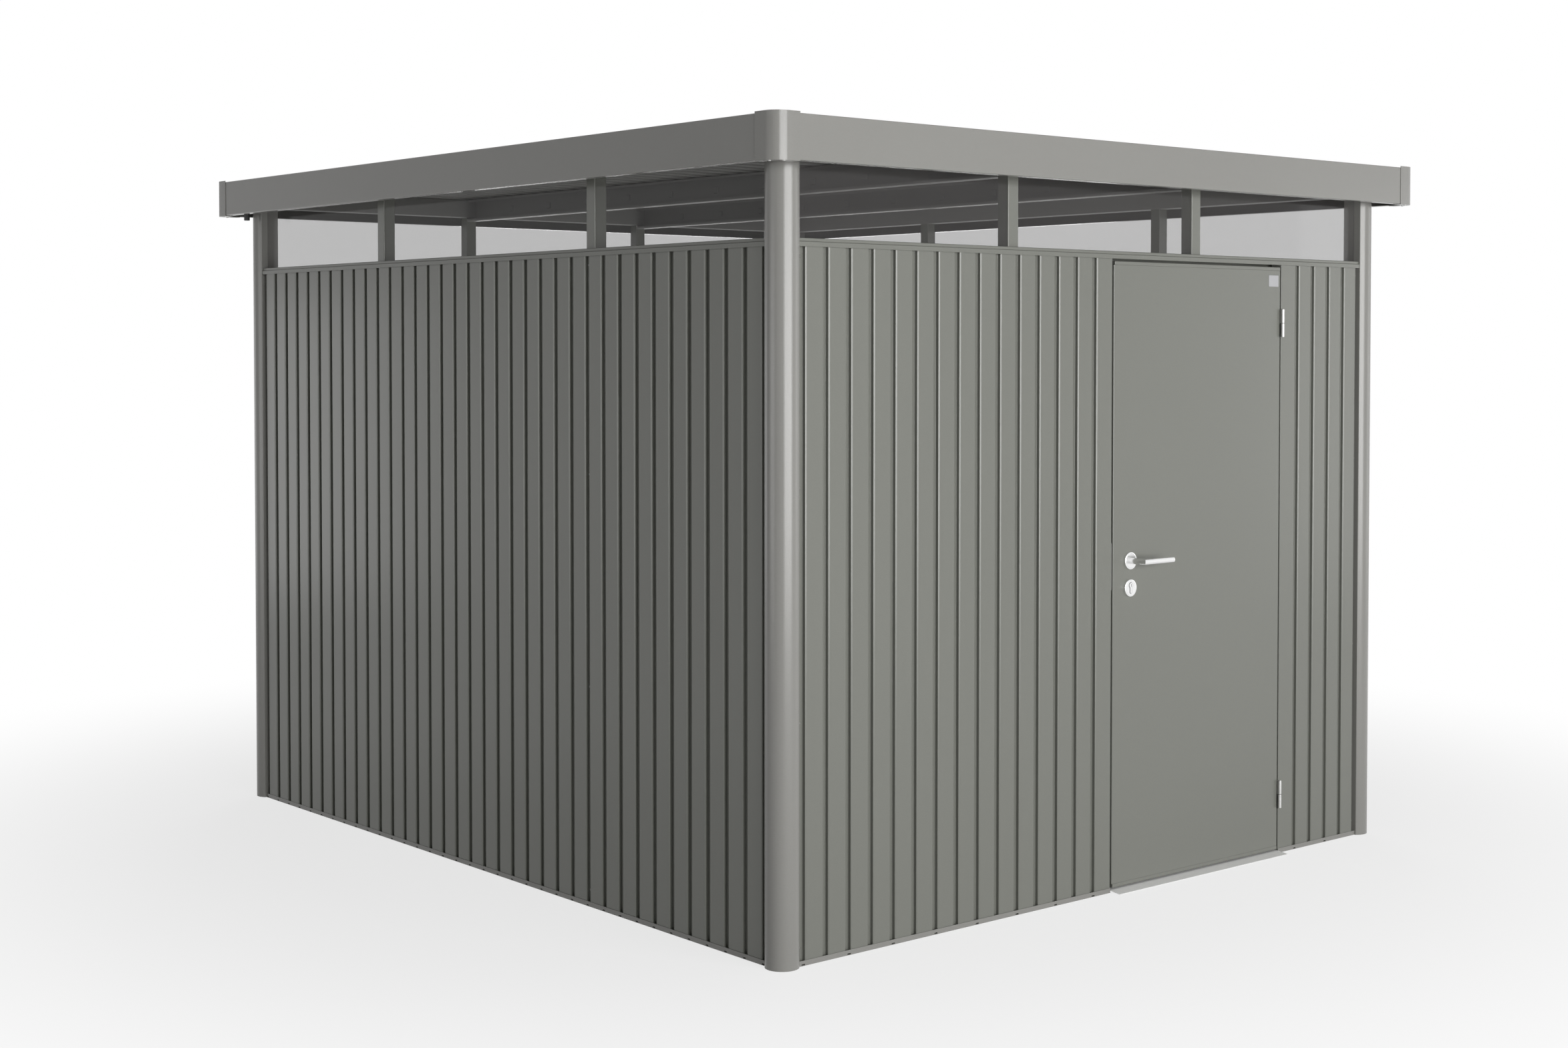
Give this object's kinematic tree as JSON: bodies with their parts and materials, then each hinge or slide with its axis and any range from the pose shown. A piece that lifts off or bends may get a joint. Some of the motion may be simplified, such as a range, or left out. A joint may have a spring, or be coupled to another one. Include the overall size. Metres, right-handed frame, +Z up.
{
  "type": "metal garden shed",
  "caption": "Flat-roofed metal garden shed with vertically grooved walls, a window strip under the deep roof edge, rounded corner posts and a hinged door with a lever handle.",
  "frame": {"origin": "centre of the shed's outline, on the ground", "axes": "+Z up, the door wall faces -Y, +X to the right when facing the door"},
  "size_m": [2.748, 3.148, 2.208],
  "materials": {
    "wall_paint": "fine metallic grey, satin",
    "post_paint": "smooth metallic grey, satin",
    "roof_paint": "grey, satin",
    "clear_pane": "clear acrylic",
    "bare_aluminium": "mill finish",
    "bright_steel": "satin brushed",
    "black_plastic": "matte"
  },
  "bodies": {
    "shed": {"corner_post_front_left": "post_paint", "corner_post_front_right": "post_paint", "corner_post_back_right": "post_paint", "corner_post_back_left": "post_paint", "head_rail_front": "wall_paint", "window_posts_front": "wall_paint", "window_panes_front": "clear_pane", "fascia_front": "post_paint", "base_rail_front": "wall_paint", "head_rail_right": "wall_paint", "window_posts_right": "wall_paint", "window_panes_right": "clear_pane", "fascia_right": "post_paint", "base_rail_right": "wall_paint", "head_rail_back": "wall_paint", "window_posts_back": "wall_paint", "window_panes_back": "clear_pane", "fascia_back": "post_paint", "base_rail_back": "wall_paint", "head_rail_left": "wall_paint", "window_posts_left": "wall_paint", "window_panes_left": "clear_pane", "fascia_left": "post_paint", "base_rail_left": "wall_paint", "edge_beams": "roof_paint", "roof_beams": "roof_paint", "roof_deck": "roof_paint", "fascia_corners": "post_paint", "front_wall_left": "wall_paint", "front_wall_right": "wall_paint", "left_wall": "wall_paint", "right_wall": "wall_paint", "back_wall": "wall_paint", "door_jamb_left": "wall_paint", "door_jamb_right": "wall_paint", "door_threshold": "bare_aluminium", "strike_plate": "bright_steel", "frame_hinges": "bright_steel", "rain_outlet": "black_plastic"},
    "door": {"door_leaf": "wall_paint", "door_strips": "wall_paint", "handle_plates": "bright_steel", "lock_cylinder": "bright_steel", "door_hinges": "bright_steel"},
    "handle": {"door_lever": "bright_steel"}
  },
  "joints": [
    {"name": "door_swing", "type": "hinge", "parent": "shed", "child": "door", "pos_m": [0.8, -1.477, 0.95], "axis": [0, 0, 1], "range_deg": [0, 110]},
    {"name": "handle_turn", "type": "hinge", "parent": "door", "child": "handle", "pos_m": [0.081, -1.451, 0.981], "axis": [0, 1, 0], "range_deg": [0, 45], "stiffness_Nm_per_rad": 1, "springref_deg": -28.65}
  ]
}
